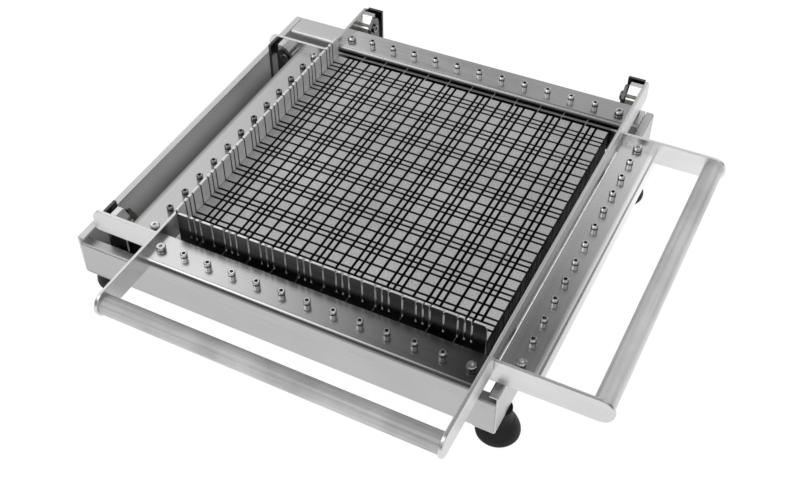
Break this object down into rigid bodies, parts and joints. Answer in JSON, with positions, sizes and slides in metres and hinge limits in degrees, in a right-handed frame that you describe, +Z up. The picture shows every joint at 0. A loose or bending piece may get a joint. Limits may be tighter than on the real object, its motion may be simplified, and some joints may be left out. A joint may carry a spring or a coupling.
{
  "type": "chocolate cutter",
  "caption": "Benchtop confectionery cutter: two hinged frames strung with wires cross at right angles and swing down through a slotted table with comb fences.",
  "frame": {"origin": "on the ground, under the middle of the machine's outline seen from above", "axes": "+Z up, +X to the user's right, towards the lower frame's handle, +Y away from the user, towards the upper frame's hinge"},
  "size_m": [0.6434, 0.608, 0.17],
  "materials": {
    "frame_steel": "satin",
    "base_steel": "satin",
    "bright_steel": "polished",
    "table_aluminium": "satin anodised",
    "bearing_bronze": "machined",
    "black_rubber": "matte"
  },
  "bodies": {
    "base": {"base_left_channel": "base_steel", "base_right_channel": "base_steel", "base_front_member": "base_steel", "base_rear_member": "base_steel", "table_left_rail": "base_steel", "table_right_rail": "base_steel", "table_posts": "base_steel", "table_post_bolts": "bright_steel", "table_bed_plate": "table_aluminium", "table_bars": "table_aluminium", "table_bar_screws": "bright_steel", "left_fence": "frame_steel", "front_fence": "frame_steel", "fence_screws": "bright_steel", "frame_rest_buttons": "black_rubber", "upper_hinge_brackets": "frame_steel", "lower_hinge_brackets": "frame_steel", "bracket_bolts": "bright_steel", "upper_pivot_bolts": "bright_steel", "lower_pivot_bolts": "bright_steel", "hinge_washers": "bearing_bronze", "front_left_foot": "black_rubber", "front_right_foot": "black_rubber", "back_left_foot": "black_rubber", "back_right_foot": "black_rubber", "foot_studs": "bright_steel", "foot_nuts": "bright_steel"},
    "upper_frame": {"upper_left_rail": "frame_steel", "upper_right_rail": "frame_steel", "upper_handle": "bright_steel", "upper_front_bar": "frame_steel", "upper_back_bar": "frame_steel", "upper_bar_blocks": "frame_steel", "upper_corner_bolts": "bright_steel", "upper_front_screws": "bright_steel", "upper_back_screws": "bright_steel", "upper_wires": "bright_steel", "upper_hinge_blocks": "frame_steel", "upper_hinge_bushes": "bearing_bronze"},
    "lower_frame": {"lower_front_rail": "frame_steel", "lower_back_rail": "frame_steel", "lower_handle": "bright_steel", "lower_right_bar": "frame_steel", "lower_left_bar": "frame_steel", "lower_bar_blocks": "frame_steel", "lower_corner_bolts": "bright_steel", "lower_right_screws": "bright_steel", "lower_left_screws": "bright_steel", "lower_wires": "bright_steel", "lower_hinge_blocks": "frame_steel", "lower_hinge_bushes": "bearing_bronze"}
  },
  "joints": [
    {"name": "upper_frame_hinge", "type": "hinge", "parent": "base", "child": "upper_frame", "pos_m": [0.00475, 0.275, 0.137], "axis": [-1, 0, 0], "range_deg": [0, 100]},
    {"name": "lower_frame_hinge", "type": "hinge", "parent": "base", "child": "lower_frame", "pos_m": [-0.25225, 0.013, 0.122], "axis": [0, -1, 0], "range_deg": [0, 100]}
  ],
  "couplings": [
    {"joint": "lower_frame_hinge", "follows": "upper_frame_hinge", "ratio": 0.08}
  ]
}
